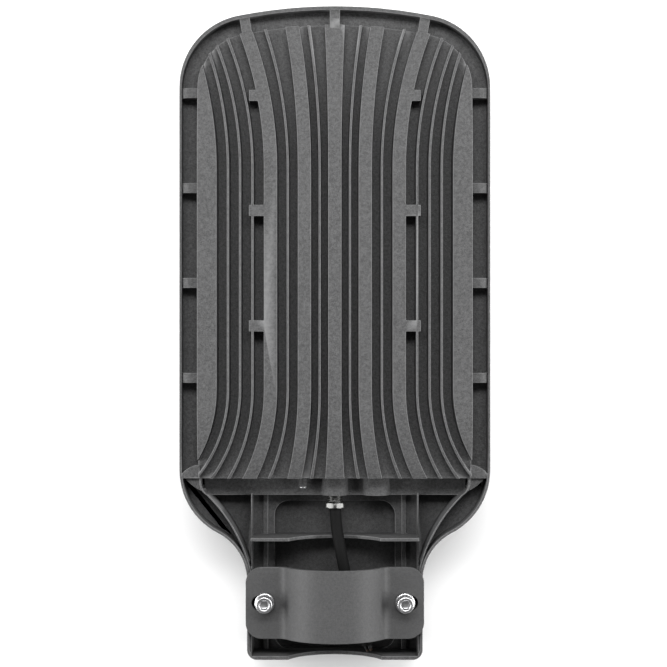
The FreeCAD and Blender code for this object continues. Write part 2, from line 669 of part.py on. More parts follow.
def light_engine():
    across = ("-board_screw_x - board_edge", "board_screw_x + board_edge")
    along = ("board_rear", "board_front")
    clear = "screw_radius + screw_gap"
    under_pad = "bay_ceiling - pad_thick"
    under_board = "bay_ceiling - pad_thick - board_thick"
    spots = list(enumerate(board_screw_places(), start=1))

    def holes(word, z):
        return [upright(f"{word}_hole_{n}", clear, str(x), str(y), z) for n, (x, y) in spots]

    pad_z = (under_pad, "bay_ceiling")
    pad = cut("thermal_pad", box("pad_sheet", across, along, pad_z), fuse("pad_holes", holes("pad", pad_z)))
    board_z = (under_board, under_pad)
    chips = []
    for n, (x, y) in enumerate(lens_places(), start=1):
        wide, long = (f"{x} - 2.5", f"{x} + 2.5"), (f"{y} - 2.5", f"{y} + 2.5")
        chips.append(box(f"chip_{n}", wide, long, (f"{under_board} - 0.8", under_board)))
    blank = box("board_blank", across, along, board_z)
    sheet_part = cut("board_sheet", blank, fuse("board_holes", holes("board", board_z)))
    board = fuse("led_board", [sheet_part] + chips)
    plate_z = (f"{under_board} - lens_plate", under_board)
    across = ("-board_screw_x - board_edge + 2", "board_screw_x + board_edge - 2")
    plate = box("lens_blank", across, ("lens_rear", "board_front"), plate_z)
    domes, pockets = [], []
    for n, (x, y) in enumerate(lens_places(), start=1):
        dome = doc.addObject("Part::Wedge", f"lens_{n}")
        wide, narrow = "lens_radius", "(lens_radius - 2.5)"
        bind(dome, Xmin=f"-{narrow}", Xmax=narrow, Zmin=f"-{narrow}", Zmax=narrow,
             X2min=f"-{wide}", X2max=wide, Z2min=f"-{wide}", Z2max=wide, Ymin="0", Ymax="lens_drop")
        dome.Placement.Rotation = Rotation(Vector(1, 0, 0), 90)
        bind(dome, Placement__Base__x=str(x), Placement__Base__y=str(y),
             Placement__Base__z=f"{under_board} - lens_plate - lens_drop")
        domes.append(dome)
        pockets.append(box(f"chip_pocket_{n}", (f"{x} - 3", f"{x} + 3"), (f"{y} - 3", f"{y} + 3"),
                           (f"{under_board} - 1.2", under_board)))
    cutters = fuse("lens_cutters", pockets + holes("lens", plate_z))
    lens = cut("lens_array", fuse("lens_body", [plate] + domes), cutters)
    plug_z = (f"{under_board} - 3.5", under_board)
    plug = box("led_connector", ("-7", "7"), ("board_rear", "board_rear + 5"), plug_z)
    return [pad, board, lens, plug]


def driver_bay():
    """Driver with two tabs, terminal block and the short leads between them."""
    across = ("driver_x - driver_half", "driver_x + driver_half")
    along = ("driver_y - driver_deep / 2", "driver_y + driver_deep / 2")
    case = box("driver_case", across, along, ("bay_ceiling - 21", "bay_ceiling"))
    across = ("driver_x - driver_half - tab_edge - 5", "driver_x + driver_half + tab_edge + 5")
    tabs = box("driver_tabs", across, ("driver_y - 6", "driver_y + 6"), ("bay_ceiling - tab_thick", "bay_ceiling"))
    holes = [upright(f"driver_tab_hole_{word}", "screw_radius + screw_gap", x, "driver_y",
                     ("bay_ceiling - tab_thick - 1", "bay_ceiling")) for word, x in DRIVER_SCREWS]
    driver = cut("driver", fuse("driver_body", [case, tabs]), fuse("driver_holes", holes))
    block = box("terminal_block", ("-14", "14"), ("-76", "-65"), ("bay_ceiling - 16", "bay_ceiling"))
    pieces = [driver, block]
    for word, x, z in (("live", -1.6, -0.9), ("neutral", 1.6, -0.9), ("earth", 0, 1.7)):
        run = ("-95", "-76")
        pieces.append(lengthwise(f"mains_core_{word}", "core_radius", str(x), run, f"entry_z + {z}"))
    for word, x in (("live", -6), ("neutral", 6)):
        pieces.append(lengthwise(f"driver_lead_{word}", "core_radius", str(x), ("-65", "-57"), "entry_z"))
    for word, x in (("plus", -3), ("minus", 3)):
        run = ("-17", "board_rear")
        pieces.append(lengthwise(f"led_lead_{word}", "core_radius", str(x), run, "bay_ceiling - 3.9"))
    return pieces


# Cable entry and cable

def cable_entry():
    nipple_end = "nut_end + 2"
    shank = lengthwise("gland_shank", "gland_radius", "0", (nipple_end, "bay_rear + 1.5"), "entry_z")
    bore = lengthwise("gland_bore", "cable_radius + 0.6", "0", ("nut_end + 1", "bay_rear + 2"), "entry_z")
    body = cut("gland_body", shank, bore)
    seal_run = ("nut_end + 2.4", "nut_end + 8")
    seal = cut("gland_seal", lengthwise("seal_outer_part", "cable_radius + 0.6", "0", seal_run, "entry_z"),
               lengthwise("seal_bore", "cable_radius", "0", seal_run, "entry_z"))
    hexagon = doc.addObject("Part::Prism", "nut_hexagon")
    hexagon.Polygon = 6
    bind(hexagon, Circumradius="nut_radius", Height="nut_start - nut_end",
         Placement__Base__y="nut_start", Placement__Base__z="entry_z")
    hexagon.Placement.Rotation = Rotation(Vector(1, 0, 0), 90).multiply(Rotation(Vector(0, 0, 1), 30))
    inside = [lengthwise("nut_thread", "gland_radius", "0", (nipple_end, "nut_start"), "entry_z"),
              lengthwise("nut_bore", "cable_radius + 0.25", "0", ("nut_end", nipple_end), "entry_z")]
    nut = cut("gland_nut", hexagon, fuse("nut_cutters", inside))
    return [body, seal, nut]


def cable_points():
    """Corner points of the cable's run: out of the gland, over the saddle rib and along the pole."""
    axis = size("entry_z")
    return [Vector(0, -95, axis), Vector(0, -112, axis), Vector(3, -130, axis + 6.5),
            Vector(9.3, -160, axis + 7.5), Vector(20, -188.5, axis + 8)]


def rounded_path(points, share):
    """Wire through corner points, each corner an arc that takes a share of the shorter run beside it."""
    edges = []
    start = points[0]
    for before, corner, after in zip(points, points[1:], points[2:]):
        back = (before - corner).normalize()
        ahead = (after - corner).normalize()
        reach = share * min(before.distanceToPoint(corner), after.distanceToPoint(corner))
        first = corner + back * reach
        last = corner + ahead * reach
        half_turn = (math.pi - back.getAngle(ahead)) / 2
        radius = reach / math.tan(half_turn)
        inward = (back + ahead).normalize()
        centre = corner + inward * (radius / math.cos(half_turn))
        edges.append(Part.LineSegment(start, first).toShape())
        edges.append(Part.Arc(first, centre - inward * radius, last).toShape())
        start = last
        print("cable bend radius", round(radius, 1), "mm")
    edges.append(Part.LineSegment(start, points[-1]).toShape())
    return Part.Wire(edges)


def mains_cable():
    path = rounded_path(cable_points(), 0.45)
    radius = size("cable_radius")
    start = cable_points()[0]
    circle = Part.Wire(Part.makeCircle(radius, start, Vector(0, -1, 0)))
    cable = doc.addObject("Part::Feature", "mains_cable")
    cable.Shape = path.makePipeShell([circle], True, False)
    section = math.pi * radius ** 2
    print("cable length", round(path.Length, 1), "mm")
    print("volume over section", round(cable.Shape.Volume / section, 1), "mm")
    return cable


def tail_cores():
    """Three bare core ends that stand out of the sheath's far end."""
    points = cable_points()
    ahead = (points[-1] - points[-2]).normalize()
    turn = Rotation(Vector(0, 0, 1), ahead)
    cores = []
    for word, angle in (("live", 90), ("neutral", 210), ("earth", 330)):
        offset = Vector(1.7 * math.cos(math.radians(angle)), 1.7 * math.sin(math.radians(angle)), 0)
        core = doc.addObject("Part::Cylinder", f"tail_core_{word}")
        bind(core, Radius="core_radius", Height="4")
        core.Placement = Placement(points[-1] + turn.multVec(offset), turn)
        cores.append(core)
    return cores


# Earth screw and spare entry plug

def entry_details():
    dome = doc.addObject("Part::Cone", "earth_dome")
    dome.Placement.Rotation = Rotation(Vector(1, 0, 0), 90)
    bind(dome, Radius1="earth_radius", Radius2="earth_radius * 0.5", Height="1.6")
    bind(dome, Placement__Base__x="earth_x", Placement__Base__y="earth_end", Placement__Base__z="earth_z")
    shank = lengthwise("earth_shank", "1.5", "earth_x", ("earth_end", "sink_rear + 3"), "earth_z")
    earth = fuse("earth_screw", [dome, shank])
    body = lengthwise("plug_body", "gland_radius", "spare_x", ("ledge_rear", "bay_rear"), "entry_z")
    slot = box("plug_slot", ("spare_x - 3.5", "spare_x + 3.5"), ("ledge_rear - 1", "ledge_rear + 2"),
               ("entry_z - 0.6", "entry_z + 0.6"))
    return [earth, cut("entry_plug", body, slot)]


# Pole clamp

def clamp_strap():
    """Pressed strap: two flanges, two bends and an arch, with a slot in each flange."""
    thick, base = size("strap_thick"), size("rim_top")
    top = base + thick
    axis, radius, bend = size("arch_axis"), size("arch_radius"), size("bend_radius")
    rise = top + bend - axis
    reach = math.sqrt((radius + bend) ** 2 - rise ** 2)
    lean = math.degrees(math.atan2(rise, reach))
    half = size("strap_half")
    plan = loop("strap_side", [
        line((-half, base), (-half, top)), line((half, base), (half, top)),
        line((-half, base), (-reach, base)), line((half, base), (reach, base)),
        line((-half, top), (-reach, top)), line((half, top), (reach, top)),
        arc((-reach, top + bend), bend, 270, 360 - lean), arc((reach, top + bend), bend, 180 + lean, 270),
        arc((-reach, top + bend), bend + thick, 270, 360 - lean),
        arc((reach, top + bend), bend + thick, 180 + lean, 270),
        arc((0, axis), radius, lean, 180 - lean), arc((0, axis), radius - thick, lean, 180 - lean),
    ])
    blank = doc.addObject("Part::Extrusion", "strap_blank")
    blank.Base = plan
    blank.DirMode = "Custom"
    blank.Dir = Vector(0, 0, 1)
    blank.Solid = True
    blank.Placement.Rotation = Rotation(Vector(1, 0, 0), 90)
    bind(blank, LengthFwd="clamp_width", Placement__Base__y="clamp_y + clamp_width / 2")

    def flange_corner(edge):
        upright_edge = abs(edge.BoundBox.ZLength - thick) < 0.01 and edge.BoundBox.XLength < 0.01
        return upright_edge and abs(abs(edge.CenterOfMass.x) - half) < 0.01

    corner = eased("strap_rounded", blank, 9.5, flange_corner)
    slots = []
    for side, word in ((1, "right"), (-1, "left")):
        run = (size("slot_length") - size("slot_width")) / 2
        ends = [upright(f"slot_{word}_{n}", "slot_width / 2", f"{side} * slot_x + {shift}", "clamp_y",
                        ("rim_top - 1", "rim_top + 6")) for n, shift in enumerate((-run, run))]
        across = (f"{side} * slot_x - {run}", f"{side} * slot_x + {run}")
        along = ("clamp_y - slot_width / 2", "clamp_y + slot_width / 2")
        middle = box(f"slot_{word}_middle", across, along, ("rim_top - 1", "rim_top + 6"))
        slots += ends + [middle]
    return cut("clamp_strap", corner, fuse("strap_slots", slots))


def clamp_fastening(side, word):
    """Socket head bolt with its flat washer and spring washer."""
    x = f"{side} * bolt_x"
    flange = "rim_top + strap_thick"
    spring = f"{flange} + washer_thick"
    seat = f"{spring} + spring_thick"
    hole = "bolt_radius + 0.2"
    flat_z, spring_z = (flange, spring), (spring, seat)
    flat = cut(f"flat_washer_{word}", upright(f"flat_disc_{word}", "washer_radius", x, "clamp_y", flat_z),
               upright(f"flat_hole_{word}", hole, x, "clamp_y", flat_z))
    gap = box(f"spring_gap_{word}", (f"{x}", f"{x} + 8"), ("clamp_y - 0.5", "clamp_y + 0.5"), spring_z)
    disc = upright(f"spring_disc_{word}", "spring_radius", x, "clamp_y", spring_z)
    middle = upright(f"spring_hole_{word}", hole, x, "clamp_y", spring_z)
    split = cut(f"spring_washer_{word}", disc, fuse(f"spring_cutters_{word}", [middle, gap]))
    head = upright(f"bolt_head_{word}", "5", x, "clamp_y", (seat, f"{seat} + 6"))
    shank = upright(f"bolt_shank_{word}", "bolt_radius", x, "clamp_y", ("rim_top - 22", seat))
    socket = doc.addObject("Part::Prism", f"bolt_socket_{word}")
    socket.Polygon = 6
    socket.Circumradius = 2.89
    bind(socket, Height="4", Placement__Base__x=x, Placement__Base__y="clamp_y",
         Placement__Base__z=f"{seat} + 3")
    bolt = cut(f"clamp_bolt_{word}", fuse(f"bolt_blank_{word}", [head, shank]), socket)
    return [flat, split, bolt]


RIB_SIDE = rib_side()
nodes = [housing(), cover_frame()] + glass_parts()
for number, (x, y) in enumerate(screw_places(), start=1):
    nodes.append(screw(f"cover_screw_{number}", x, y, 3.2, (3.7, 2.4), 16))
board_seat = size("bay_ceiling") - size("pad_thick") - size("board_thick") - size("lens_plate")
for number, (x, y) in enumerate(board_screw_places(), start=1):
    nodes.append(screw(f"board_screw_{number}", x, y, board_seat, (3.5, 2.2), 13))
nodes += light_engine() + driver_bay()
tab_seat = size("bay_ceiling") - size("tab_thick")
for side, word in ((-1, "left"), (1, "right")):
    x = size("driver_x") + side * (size("driver_half") + size("tab_edge"))
    nodes.append(screw(f"driver_screw_{word}", x, size("driver_y"), tab_seat, (3.5, 2.2), 6.5))
nodes += cable_entry() + [mains_cable()] + tail_cores() + entry_details() + [clamp_strap()]
for side, word in ((1, "right"), (-1, "left")):
    nodes += clamp_fastening(side, word)
doc.recompute()

for item in doc.Objects:
    wrong = {"Invalid", "Error"} & set(item.State)
    if wrong:
        raise RuntimeError(f"{item.Name} is {wrong}")
    if hasattr(item, "Shape") and (item.Shape.isNull() or not item.Shape.isValid()):
        raise RuntimeError(f"{item.Name} has no valid shape")
for item in nodes:
    item.Label = item.Name
    solids = item.Shape.Solids
    if len(solids) != 1:
        raise RuntimeError(f"{item.Name} is {len(solids)} solids")
    solids[0].exportStep(f"parts/{item.Name}.step")
print(len(nodes), "pieces")
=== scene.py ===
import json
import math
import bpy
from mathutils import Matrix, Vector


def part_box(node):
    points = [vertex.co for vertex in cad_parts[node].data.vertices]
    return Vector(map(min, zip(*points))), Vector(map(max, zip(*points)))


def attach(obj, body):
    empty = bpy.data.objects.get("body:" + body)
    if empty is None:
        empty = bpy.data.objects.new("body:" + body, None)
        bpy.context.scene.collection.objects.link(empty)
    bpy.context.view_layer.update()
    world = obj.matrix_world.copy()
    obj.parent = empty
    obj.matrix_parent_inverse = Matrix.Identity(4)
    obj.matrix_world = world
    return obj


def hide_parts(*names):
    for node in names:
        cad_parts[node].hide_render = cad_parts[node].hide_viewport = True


bl_info = {
    "name": "LED street light head",
    "version": (1, 0, 0),
    "blender": (4, 5, 0),
    "location": "3D View > Sidebar > Lamp head",
    "description": "Finishes, dressed pieces, cable and studio for the street light head",
    "category": "Add Mesh",
}

import bmesh
import bpy
from mathutils import Matrix, Vector
from mathutils.geometry import intersect_line_line_2d

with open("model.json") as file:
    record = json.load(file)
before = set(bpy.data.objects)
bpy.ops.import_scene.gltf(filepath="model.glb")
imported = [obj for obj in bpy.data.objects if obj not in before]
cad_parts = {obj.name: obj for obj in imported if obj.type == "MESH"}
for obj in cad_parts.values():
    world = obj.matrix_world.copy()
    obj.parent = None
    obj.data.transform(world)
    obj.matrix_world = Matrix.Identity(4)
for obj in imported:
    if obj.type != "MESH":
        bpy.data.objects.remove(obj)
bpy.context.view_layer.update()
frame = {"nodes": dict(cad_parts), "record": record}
MM = 0.001


# Node trees

class Maths:
    """A socket whose operators add Math nodes."""

    def __init__(self, graph, socket):
        self.graph = graph
        self.socket = socket

    def _with(self, operation, *values):
        inputs = {place: value.socket if isinstance(value, Maths) else value
                  for place, value in enumerate(values)}
        node = self.graph.node("ShaderNodeMath", {"operation": operation}, inputs)
        return Maths(self.graph, node.outputs[0])

    def __add__(self, other):
        return self._with("ADD", self, other)

    __radd__ = __add__

    def __sub__(self, other):
        return self._with("SUBTRACT", self, other)

    def __rsub__(self, other):
        return self._with("SUBTRACT", other, self)

    def __mul__(self, other):
        return self._with("MULTIPLY", self, other)

    def __truediv__(self, other):
        return self._with("DIVIDE", self, other)

    def least(self, other):
        return self._with("MINIMUM", self, other)

    def most(self, other):
        return self._with("MAXIMUM", self, other)

    def clamped(self):
        return self.most(0.0).least(1.0)

    def zigzag(self):
        """Zero at whole numbers and one half way between them."""
        return self._with("PINGPONG", self, 0.5) * 2.0

    def angle_to(self, other):
        return self._with("ARCTAN2", self, other)

    def root(self):
        return self._with("SQRT", self)

    def size(self):
        return self._with("ABSOLUTE", self)


class Graph:
    """Adds nodes to a node tree."""

    def __init__(self, tree):
        self.tree = tree

    def node(self, kind, settings=None, inputs=None):
        """Add a node, set its settings first and then its inputs' values or links."""
        made = self.tree.nodes.new(kind)
        for key, value in (settings or {}).items():
            setattr(made, key, value)
        for key, value in (inputs or {}).items():
            self.feed(made.inputs[key], value)
        return made

    def feed(self, socket, value):
        if isinstance(value, Maths):
            value = value.socket
        if isinstance(value, bpy.types.NodeSocket):
            self.tree.links.new(value, socket)
        else:
            socket.default_value = value

    def parts(self, vector):
        """The three numbers of a vector socket."""
        made = self.node("ShaderNodeSeparateXYZ", None, {0: vector})
        return [Maths(self, socket) for socket in made.outputs]


class Shader(Graph):
    """Node tree of one finish, built around a Principled shader."""

    def __init__(self, name):
        self.material = bpy.data.materials.new(name)
        self.material.use_nodes = True
        super().__init__(self.material.node_tree)
        self.surface = next(n for n in self.tree.nodes if n.type == "BSDF_PRINCIPLED")

    def set(self, **values):
        """Set or link sockets of the Principled shader; underscores stand for spaces."""
        for key, value in values.items():
            self.feed(self.surface.inputs[key.replace("_", " ")], value)

    def place(self):
        return self.node("ShaderNodeTexCoord").outputs["Object"]

    def stretched(self, x, y, z):
        """Object coordinates scaled along the three axes."""
        factors = {0: self.place(), 1: (x, y, z)}
        made = self.node("ShaderNodeVectorMath", {"operation": "MULTIPLY"}, factors)
        return made.outputs[0]

    def noise(self, scale, detail=2.0, roughness=0.5, place=None):
        """Noise with values around a half."""
        made = self.node("ShaderNodeTexNoise", None, {
            "Vector": place or self.place(), "Scale": scale, "Detail": detail, "Roughness": roughness})
        return Maths(self, made.outputs["Fac"])

    def attribute(self, name):
        made = self.node("ShaderNodeAttribute", {"attribute_name": name})
        return Maths(self, made.outputs["Fac"])

    def mix(self, factor, first, second):
        made = self.node("ShaderNodeMix", {"data_type": "RGBA"}, {0: factor, 6: first, 7: second})
        return made.outputs[2]

    def bump(self, height, distance, strength=1.0):
        inputs = {"Height": height, "Distance": distance, "Strength": strength}
        made = self.node("ShaderNodeBump", None, inputs)
        return made.outputs["Normal"]


class Rule(Graph):
    """Geometry node group with named inputs."""

    def __init__(self, name, **numbers):
        super().__init__(bpy.data.node_groups.new(name, "GeometryNodeTree"))
        face = self.tree.interface
        face.new_socket("Geometry", in_out="INPUT", socket_type="NodeSocketGeometry")
        for label, number in numbers.items():
            kind = "NodeSocketInt" if isinstance(number, int) else "NodeSocketFloat"
            face.new_socket(label, in_out="INPUT", socket_type=kind).default_value = number
        face.new_socket("Material", in_out="INPUT", socket_type="NodeSocketMaterial")
        face.new_socket("Geometry", in_out="OUTPUT", socket_type="NodeSocketGeometry")
        self.inlet = self.tree.nodes.new("NodeGroupInput")
        self.outlet = self.tree.nodes.new("NodeGroupOutput")

    def number(self, label):
        return Maths(self, self.inlet.outputs[label])

    def end(self, geometry):
        """Realize the instances, set the material and hand the geometry out."""
        real = self.node("GeometryNodeRealizeInstances", None, {0: geometry}).outputs[0]
        done = self.node("GeometryNodeSetMaterial", None, {
            "Geometry": real, "Material": self.inlet.outputs["Material"]})
        self.tree.links.new(done.outputs[0], self.outlet.inputs[0])

    def apply(self, piece, **values):
        """Run the group on a piece and keep the result as its plain mesh."""
        modifier = piece.modifiers.new(self.tree.name, "NODES")
        modifier.node_group = self.tree
        for item in self.tree.interface.items_tree:
            if item.in_out == "INPUT" and item.name in values:
                modifier[item.identifier] = values[item.name]
        flatten(piece)
        return piece


# Finishes

# Painted shade: height in metres under which the coat is painted darker, how fast it darkens in a metre,
# and how far.
SHADE_PAINT_TOP = 0.028
SHADE_PAINT_RATE = 70.0
SHADE_PAINT_SHARE = 0.55

# Width and length of a copper field of the board, in millimetres.
COPPER_FIELD = (11, 20)


def grey(level):
    return (level, level, level * 1.01, 1)


def powder_coat(name, level, grain, roughness, edge_wear_and_highlight, contrast=2.6):
    """Textured powder coat: fine grain, faint clouds, and edge crests painted lighter, partly as a thinner
    worn film and partly as a painted highlight.

    Below a set height it is painted darker: painted shade that gives the recess round the cable its depth,
    and that also darkens the lower walls and the cover frame.
    """
    shader = Shader(name)
    fine = shader.noise(1700, 3.0, 0.65)
    coarse = shader.noise(620, 2.0)
    cloud = shader.noise(22, 2.0)
    speckle = (fine - 0.5) * contrast + (coarse - 0.5) * contrast * 0.6 + (cloud - 0.5) * 0.25
    speckle = (speckle + 0.5).clamped()
    tone = shader.mix(speckle, grey(level * 0.62), grey(level * 1.42))
    # Edge crests painted lighter: partly a thinner, worn film and partly a painted highlight, standing in
    # for light caught on the rounded edges.
    edge = (shader.attribute("edge") * (0.55 + coarse * 0.9)).clamped()
    # Painted shade: the coat is painted darker below a set height, standing in for the shade in the recess
    # round the cable, and it also darkens the lower walls and the cover frame.
    height = shader.parts(shader.place())[2]
    painted_shade = ((height * -1.0 + SHADE_PAINT_TOP) * SHADE_PAINT_RATE).clamped() * SHADE_PAINT_SHARE
    tone = shader.mix(painted_shade, tone, grey(level * 0.2))
    shader.set(
        Base_Color=shader.mix(edge, tone, grey(level * edge_wear_and_highlight)),
        Metallic=0.0,
        Roughness=(roughness + (cloud - 0.5) * 0.1 + (fine - 0.5) * 0.2 - edge * 0.08).clamped(),
        Normal=shader.bump(fine + coarse * 0.8, grain),
    )
    shader.surface.inputs["Specular IOR Level"].default_value = 0.22
    return shader.material


def metal(name, colour, roughness, scratch=0.00001):
    """Bright metal with fine turning marks and an uneven gloss."""
    shader = Shader(name)
    broad = shader.noise(260, 3.0)
    marks = shader.noise(1.0, 2.0, 0.5, shader.stretched(400, 400, 2500))
    tone = shader.mix(broad.clamped(), tuple(v * 0.82 for v in colour[:3]) + (1,), colour)
    shader.set(
        Base_Color=tone,
        Metallic=1.0,
        Roughness=(roughness + (broad - 0.5) * 0.25).clamped(),
        Normal=shader.bump(marks, scratch, 0.35),
    )
    return shader.material


def rubber(name, level, roughness):
    """Moulded rubber or plastic: even tone, faint orange peel and dust."""
    shader = Shader(name)
    peel = shader.noise(900, 2.0)
    dust = shader.noise(55, 4.0, 0.6)
    tone = shader.mix(((dust - 0.45) * 1.6).clamped(), grey(level), grey(level * 1.35 + 0.004))
    shader.set(
        Base_Color=tone,
        Roughness=(roughness + (dust - 0.5) * 0.25).clamped(),
        Normal=shader.bump(peel, 0.00002),
    )
    return shader.material


def sheath(name, level, roughness):
    """Extruded cable sheath with little gloss and faint lengthwise draw lines."""
    shader = Shader(name)
    lines = shader.noise(1.0, 2.0, 0.5, shader.stretched(2600, 180, 2600))
    dust = shader.noise(120, 3.0, 0.6)
    shader.set(
        Base_Color=shader.mix(((dust - 0.45) * 1.2).clamped(), grey(level), grey(level * 1.8)),
        Roughness=(roughness + (lines - 0.5) * 0.2 + (dust - 0.5) * 0.2).clamped(),
        Normal=shader.bump(lines, 0.00003),
    )
    shader.surface.inputs["Specular IOR Level"].default_value = 0.12
    return shader.material


def board_mask(name):
    """White solder mask with the copper under it showing as slightly darker fields."""
    shader = Shader(name)
    x, y, _ = shader.parts(shader.place())
    across = (x * (1000 / COPPER_FIELD[0])).zigzag()
    along = (y * (1000 / COPPER_FIELD[1])).zigzag()
    gap = (((across - 0.93) * 30).clamped()).most(((along - 0.95) * 30).clamped())
    fine = shader.noise(500, 2.0)
    tone = shader.mix(gap, (0.74, 0.75, 0.73, 1), (0.60, 0.62, 0.58, 1))
    shader.set(
        Base_Color=tone,
        Roughness=(0.35 + (fine - 0.5) * 0.15).clamped(),
        Normal=shader.bump(gap, 0.00003),
    )
    return shader.material


def phosphor(name):
    """Yellow phosphor field of a light source, with a fine grain in its yellow."""
    shader = Shader(name)
    grain = shader.noise(3000, 2.0)
    tone = shader.mix(grain.clamped(), (0.78, 0.56, 0.07, 1), (0.86, 0.70, 0.16, 1))
    shader.set(Base_Color=tone, Roughness=0.45)
    return shader.material


def clear(name, colour, roughness, cover):
    """Clear pane or lens with faint smears in its gloss."""
    shader = Shader(name)
    smear = shader.noise(35, 3.0, 0.6)
    shader.set(
        Base_Color=colour,
        Roughness=(roughness + (smear - 0.45) * 0.06).clamped(),
        Alpha=(smear * 0.1 + cover).clamped(),
    )
    return shader.material


def finishes(settings):
    """One finish for each material slot of the record, and two more for details."""
    return {
        # The fifth number is how much lighter the edge crests are painted, partly as wear and partly as a
        # painted highlight.
        "housing_paint": powder_coat("housing_paint", settings.housing_tone, 0.00006, 0.66, 2.4),
        "strap_paint": powder_coat("strap_paint", settings.strap_tone, 0.00002, 0.52, 1.5, 1.0),
        "tempered_glass": clear("tempered_glass", (0.55, 0.6, 0.58, 1), 0.03, 0.1),
        "seal_rubber": rubber("seal_rubber", 0.02, 0.7),
        "pad_rubber": rubber("pad_rubber", 0.3, 0.75),
        "board_white": board_mask("board_white"),
        "lens_clear": clear("lens_clear", (0.8, 0.82, 0.82, 1), 0.05, 0.3),
        "block_plastic": rubber("block_plastic", 0.55, 0.5),
        "driver_case": metal("driver_case", (0.6, 0.6, 0.61, 1), 0.42),
        "nickel": metal("nickel", (0.13, 0.13, 0.127, 1), 0.4),
        "cable_sheath": sheath("cable_sheath", 0.003, 0.72),
        "core_insulation": sheath("core_insulation", 0.02, 0.5),
        "stainless": metal("stainless", (0.6, 0.6, 0.61, 1), 0.34),
        "phosphor": phosphor("phosphor"),
        "copper": metal("copper", (0.10, 0.07, 0.055, 1), 0.45),
    }


# Meshes

def own_mesh(name, mesh):
    made = bpy.data.objects.new(name, mesh)
    bpy.context.scene.collection.objects.link(made)
    return made


def flatten(piece):
    """Turn the modified shape of a piece into its plain mesh."""
    graph = bpy.context.evaluated_depsgraph_get()
    final = bpy.data.meshes.new_from_object(piece.evaluated_get(graph))
    piece.modifiers.clear()
    piece.data = final
    final.name = piece.name


def weigh_edges(work, angle, narrowest=28.0, most_edges=5):
    """Give each sharp edge a weight, apart from those that meet in a narrow corner or a busy one.

    Those stay unrounded and are shaded as sharp.
    """
    layer = work.edges.layers.float.new("bevel_weight_edge")
    sharp = {edge for edge in work.edges
             if len(edge.link_faces) == 2 and edge.calc_face_angle(0) > math.radians(angle)}
    crowded = set()
    for corner in work.verts:
        edges = [edge for edge in corner.link_edges if edge in sharp]
        narrow = any(loop.edge in sharp and loop.link_loop_prev.edge in sharp
                     and loop.calc_angle() < math.radians(narrowest) for loop in corner.link_loops)
        if narrow or len(edges) > most_edges:
            crowded.update(edges)
    for edge in sharp:
        edge[layer] = 0.0 if edge in crowded else 1.0
        edge.smooth = edge not in crowded


def untangle(piece, longest=4):
    """Merge the corners of a face where its outline crosses itself beside a rounding.

    Only small loops count, of up to the longest number of sides: a rounding that ends in a tight
    corner makes them, and the face would be cut into wrong triangles.
    """
    work = bmesh.new()
    work.from_mesh(piece.data)
    merged = {}
    for face in work.faces:
        corners = list(face.verts)
        total = len(corners)
        if total < 5:
            continue
        turn = face.normal.to_track_quat("Z", "Y").inverted()
        flat = [(turn @ corner.co).to_2d() for corner in corners]
        for first in range(total):
            for step in range(2, min(longest + 1, total - 1)):
                ends = [flat[(first + number) % total] for number in (0, 1, step, step + 1)]
                if intersect_line_line_2d(*ends):
                    for number in range(2, step + 1):
                        merged[corners[(first + number) % total]] = corners[(first + 1) % total]
    targets = {corner: target for corner, target in merged.items() if target not in merged}
    bmesh.ops.weld_verts(work, targetmap=targets)
    work.to_mesh(piece.data)
    work.free()


def soften(piece, width, segments):
    """Round the weighted edges of a piece."""
    bevel = piece.modifiers.new("round", "BEVEL")
    bevel.width = width
    bevel.segments = segments
    bevel.limit_method = "WEIGHT"
    bevel.harden_normals = True
    bevel.use_clamp_overlap = False
    bevel.miter_outer = "MITER_ARC" if segments > 1 else "MITER_SHARP"
    flatten(piece)
    untangle(piece)


def mark_edges(piece, least=30.0, most=70.0):
    """Number 1 on the crests of the rounded outer edges, where the coat is painted lighter, partly as a
    thin worn film and partly as a painted highlight, and 0 elsewhere.
    """
    work = bmesh.new()
    work.from_mesh(piece.data)
    layer = work.verts.layers.float.new("edge")
    for edge in work.edges:
        turn = math.degrees(edge.calc_face_angle_signed(0)) if len(edge.link_faces) == 2 else 0
        if least < turn < most:
            for corner in edge.verts:
                corner[layer] = 1.0
    work.to_mesh(piece.data)
    work.free()


def rounded_copy(node, name, width, segments, angle=30.0):
    """Merged copy of a CAD node with its sharp edges rounded."""
    mesh = frame["nodes"][node].data.copy()
    mesh.name = name
    work = bmesh.new()
    work.from_mesh(mesh)
    bmesh.ops.remove_doubles(work, verts=work.verts, dist=0.000002)
    bmesh.ops.dissolve_limit(work, angle_limit=math.radians(0.3), verts=work.verts, edges=work.edges)
    for face in work.faces:
        face.smooth = True
    weigh_edges(work, angle)
    work.to_mesh(mesh)
    work.free()
    made = own_mesh(name, mesh)
    low, high = (Vector(pick(corner.co[axis] for corner in mesh.vertices) for axis in range(3))
                 for pick in (min, max))
    soften(made, width, segments)
    for corner in made.data.vertices:
        corner.co = [min(max(value, least), most) for value, least, most in zip(corner.co, low, high)]
    mark_edges(made)
    weighted = made.modifiers.new("flat_faces", "WEIGHTED_NORMAL")
    weighted.keep_sharp = True
    weighted.weight = 100
    flatten(made)
    return made


def hexagon(half_flat, limit=100.0, corner=0.0):
    """Radius of a hexagon at an angle, held to a limit, for a ring of turned()."""
    def radius(angle):
        within = (angle - corner) % (math.pi / 3) - math.pi / 6
        return min(half_flat / math.cos(within), limit)
    return radius


def oval(long, wide):
    """Radius of an ellipse at an angle, for a ring of turned()."""
    def radius(angle):
        return 1 / math.hypot(math.cos(angle) / long, math.sin(angle) / wide)
    return radius


